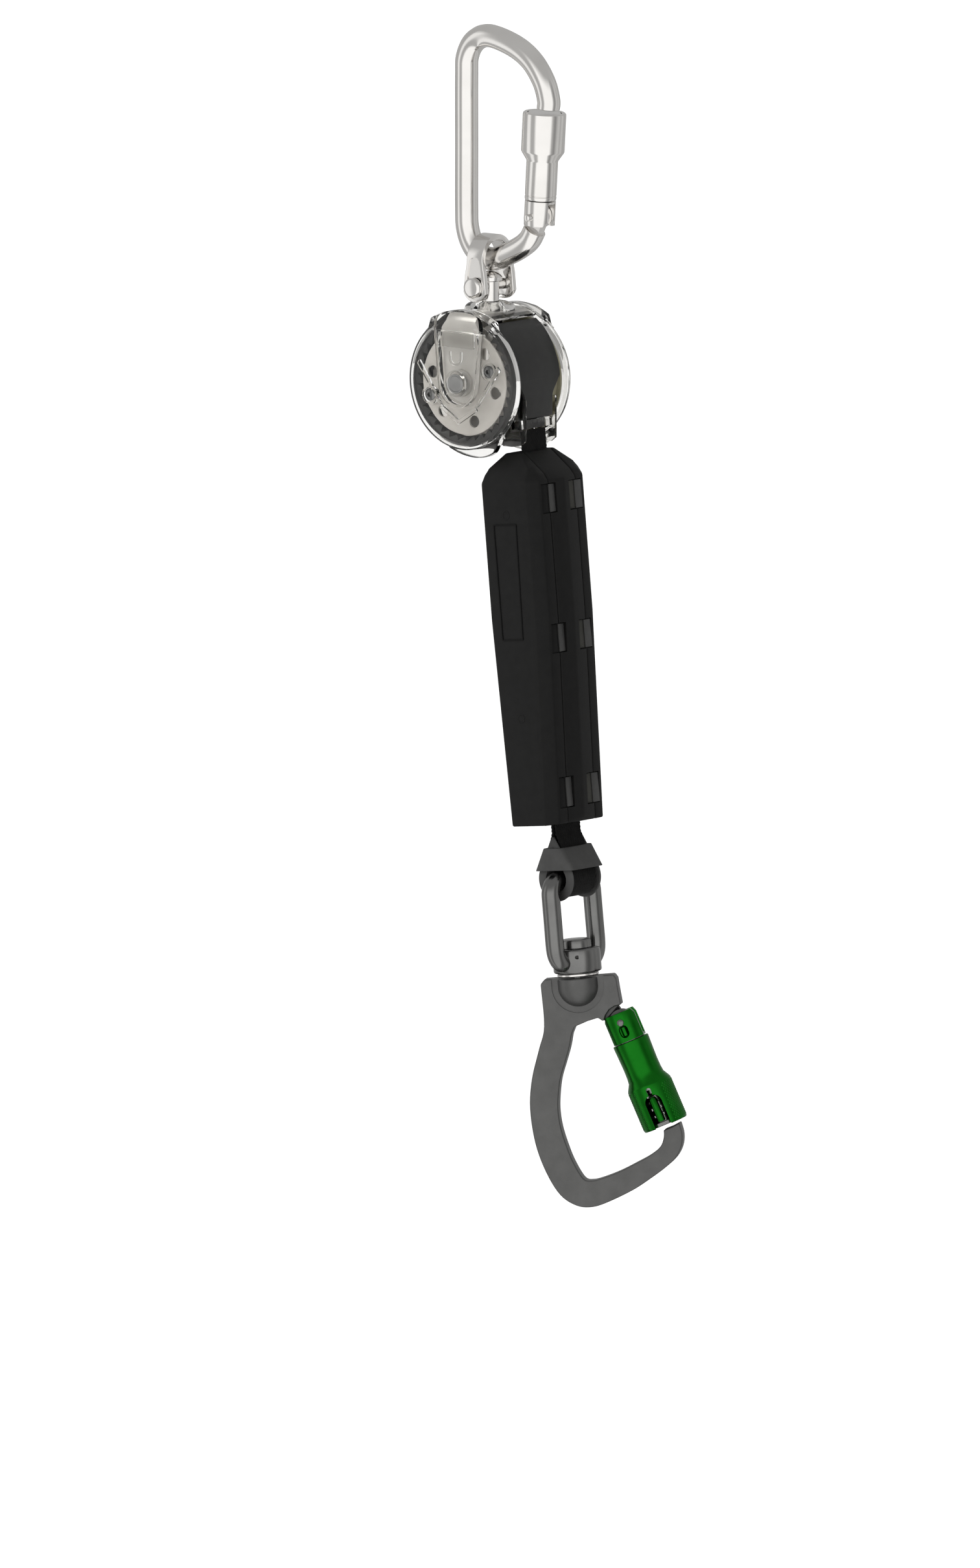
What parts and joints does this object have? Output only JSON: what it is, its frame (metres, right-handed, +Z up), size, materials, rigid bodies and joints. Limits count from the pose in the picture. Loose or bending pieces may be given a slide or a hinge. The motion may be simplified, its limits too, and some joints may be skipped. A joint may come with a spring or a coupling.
{
  "type": "self retracting lifeline",
  "caption": "Personal fall arrester: carabiner and swivel, clear drum housing with brake and spring, black webbing, energy absorber pack and swivel snap hook.",
  "frame": {"origin": "the anchor seat, inside the top bend of the carabiner, where an anchor bears", "axes": "+Z up, the lifeline hangs towards -Z; the drum axle lies along Y and the front cover faces -Y"},
  "size_m": [0.1455, 0.0607, 0.6073],
  "materials": {
    "bright_steel": "satin",
    "grey_steel": "brushed",
    "clear_plastic": "clear gloss",
    "dark_plastic": "matte",
    "black_plastic": "fine moulded texture",
    "grey_plastic": "matte",
    "disc_metal": "satin",
    "olive_plastic": "matte",
    "webbing": "woven",
    "absorber_webbing": "woven",
    "green_anodised": "satin"
  },
  "bodies": {
    "carabiner": {"carabiner_body": "bright_steel"},
    "carabiner_gate": {"carabiner_gate": "bright_steel", "carabiner_gate_pin": "bright_steel", "carabiner_sleeve_spring": "grey_steel"},
    "carabiner_sleeve": {"carabiner_sleeve": "bright_steel"},
    "clevis": {"clevis": "bright_steel", "clevis_pin": "bright_steel", "clevis_pin_clip": "bright_steel"},
    "swivel_post": {"swivel_post": "bright_steel", "swivel_nut": "bright_steel"},
    "housing": {"swivel_bush": "bright_steel", "load_frame": "bright_steel", "drum_axle": "bright_steel", "axle_nut_front": "bright_steel", "axle_nut_rear": "bright_steel", "front_cover": "clear_plastic", "rear_cover": "clear_plastic", "cover_screw_1": "bright_steel", "cover_screw_2": "bright_steel", "centre_badge": "bright_steel", "guard_band": "dark_plastic", "guard_band_back": "dark_plastic", "top_cap": "clear_plastic", "webbing_guide": "grey_plastic", "ratchet_ring": "dark_plastic", "spring_cassette": "olive_plastic", "power_spring": "grey_steel", "webbing_run": "webbing"},
    "drum": {"drum_hub": "grey_steel", "drum_flange_front": "disc_metal", "drum_flange_rear": "disc_metal", "webbing_coil": "webbing", "brake_disc": "disc_metal", "pawl_pin_1": "grey_steel", "pawl_pin_2": "grey_steel"},
    "brake_pawl_1": {"brake_pawl_1": "bright_steel"},
    "brake_pawl_2": {"brake_pawl_2": "bright_steel"},
    "strap": {"webbing_tail": "webbing"},
    "absorber": {"absorber_front_cover": "black_plastic", "absorber_body": "black_plastic", "absorber_rear_cover": "black_plastic", "latch_clip_front_1": "grey_plastic", "latch_clip_front_2": "grey_plastic", "latch_clip_front_3": "grey_plastic", "latch_clip_rear_1": "grey_plastic", "latch_clip_rear_2": "grey_plastic", "latch_clip_rear_3": "grey_plastic", "webbing_lead": "webbing", "energy_absorber": "absorber_webbing", "webbing_loop": "webbing", "thimble": "grey_plastic", "thimble_band": "grey_plastic"},
    "link": {"eye_link": "grey_steel"},
    "hook": {"swivel_stem": "grey_steel", "swivel_washer": "bright_steel", "hook_body": "grey_steel"},
    "hook_gate": {"hook_gate": "green_anodised", "hook_gate_pin": "bright_steel", "hook_sleeve_spring": "grey_steel"},
    "hook_sleeve": {"hook_sleeve": "green_anodised"}
  },
  "joints": [
    {"name": "carabiner_gate_open", "type": "hinge", "parent": "carabiner", "child": "carabiner_gate", "pos_m": [0.0325, 0, -0.0847], "axis": [0, -1, 0], "range_deg": [0, 25], "stiffness_Nm_per_rad": 0.05, "springref_deg": -34.38},
    {"name": "carabiner_sleeve_twist", "type": "hinge", "parent": "carabiner_gate", "child": "carabiner_sleeve", "pos_m": [0.0325, 0, -0.0847], "axis": [0.061, 0, 0.9981], "range_deg": [0, 90], "stiffness_Nm_per_rad": 0.01, "springref_deg": -34.38},
    {"name": "clevis_swing", "type": "hinge", "parent": "carabiner", "child": "clevis", "pos_m": [0, 0, -0.1087], "axis": [1, 0, 0], "range_deg": [-60, 60]},
    {"name": "post_pivot", "type": "hinge", "parent": "clevis", "child": "swivel_post", "pos_m": [0, 0, -0.1231], "axis": [0, 1, 0], "range_deg": [-30, 30]},
    {"name": "housing_swivel", "type": "hinge", "parent": "swivel_post", "child": "housing", "pos_m": [0, 0, -0.1362], "axis": [0, 0, 1], "continuous": true},
    {"name": "drum_spin", "type": "hinge", "parent": "housing", "child": "drum", "pos_m": [0, 0, -0.1712], "axis": [0, 1, 0], "range_deg": [0, 3200]},
    {"name": "brake_pawl_1_swing", "type": "hinge", "parent": "drum", "child": "brake_pawl_1", "pos_m": [-0.01607, 0, -0.17674], "axis": [0, 1, 0], "range_deg": [0, 8], "stiffness_Nm_per_rad": 0.002, "springref_deg": -17.19},
    {"name": "brake_pawl_2_swing", "type": "hinge", "parent": "drum", "child": "brake_pawl_2", "pos_m": [0.01607, 0, -0.16567], "axis": [0, 1, 0], "range_deg": [0, 8], "stiffness_Nm_per_rad": 0.002, "springref_deg": -17.19},
    {"name": "strap_swing", "type": "hinge", "parent": "housing", "child": "strap", "pos_m": [0.02788, 0, -0.19503], "axis": [0, 1, 0], "range_deg": [-12, 12]},
    {"name": "strap_payout", "type": "slide", "parent": "strap", "child": "absorber", "axis": [0.1063, 0, -0.9943], "range_m": [0, 1.266], "stiffness_N_per_m": 4, "springref_m": -5, "deforming": ["webbing_tail"]},
    {"name": "link_swing", "type": "hinge", "parent": "absorber", "child": "link", "pos_m": [0.05252, 0, -0.42552], "axis": [0, 1, 0], "range_deg": [-60, 60]},
    {"name": "hook_swivel", "type": "hinge", "parent": "link", "child": "hook", "pos_m": [0.05794, 0, -0.47623], "axis": [0.1063, 0, -0.9943], "continuous": true},
    {"name": "hook_gate_open", "type": "hinge", "parent": "hook", "child": "hook_gate", "pos_m": [0.07813, 0.01102, -0.49922], "axis": [-0.5269, 0.848, -0.0563], "range_deg": [0, 22], "stiffness_Nm_per_rad": 0.1, "springref_deg": -34.38},
    {"name": "hook_sleeve_twist", "type": "hinge", "parent": "hook_gate", "child": "hook_sleeve", "pos_m": [0.07813, 0.01102, -0.49922], "axis": [0.3657, 0.1664, -0.9158], "range_deg": [0, 90], "stiffness_Nm_per_rad": 0.01, "springref_deg": -34.38}
  ],
  "couplings": [
    {"joint": "drum_spin", "follows": "strap_payout", "rad_per_m": 39.7}
  ]
}
